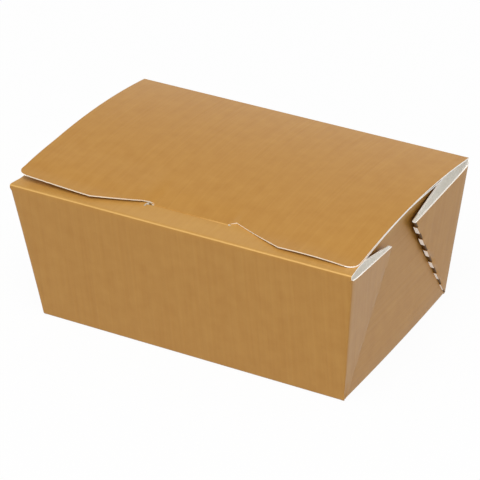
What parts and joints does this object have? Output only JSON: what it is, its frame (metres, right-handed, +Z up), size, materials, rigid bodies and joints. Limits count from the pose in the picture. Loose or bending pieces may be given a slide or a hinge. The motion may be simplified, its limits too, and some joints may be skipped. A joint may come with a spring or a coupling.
{
  "type": "ballotin box",
  "caption": "Folding-carton ballotin with flared walls, folded corner webs, a slotted front flap, dust flaps and a hinged tuck-in lid.",
  "frame": {"origin": "middle of the base, on the surface that the box stands on", "axes": "+Z up, +X to the right along the box's length, front wall facing -Y, lid hinged along the back at +Y"},
  "size_m": [0.149, 0.1006, 0.0685],
  "materials": {
    "gold_card": "satin gold outside, white inside"
  },
  "bodies": {
    "box": {"box_body": "gold_card"},
    "cover": {"lid": "gold_card"}
  },
  "joints": [
    {"name": "lid_hinge", "type": "hinge", "parent": "box", "child": "cover", "pos_m": [0, 0.05035, 0.0612], "axis": [-1, 0, 0], "range_deg": [0, 200]}
  ]
}
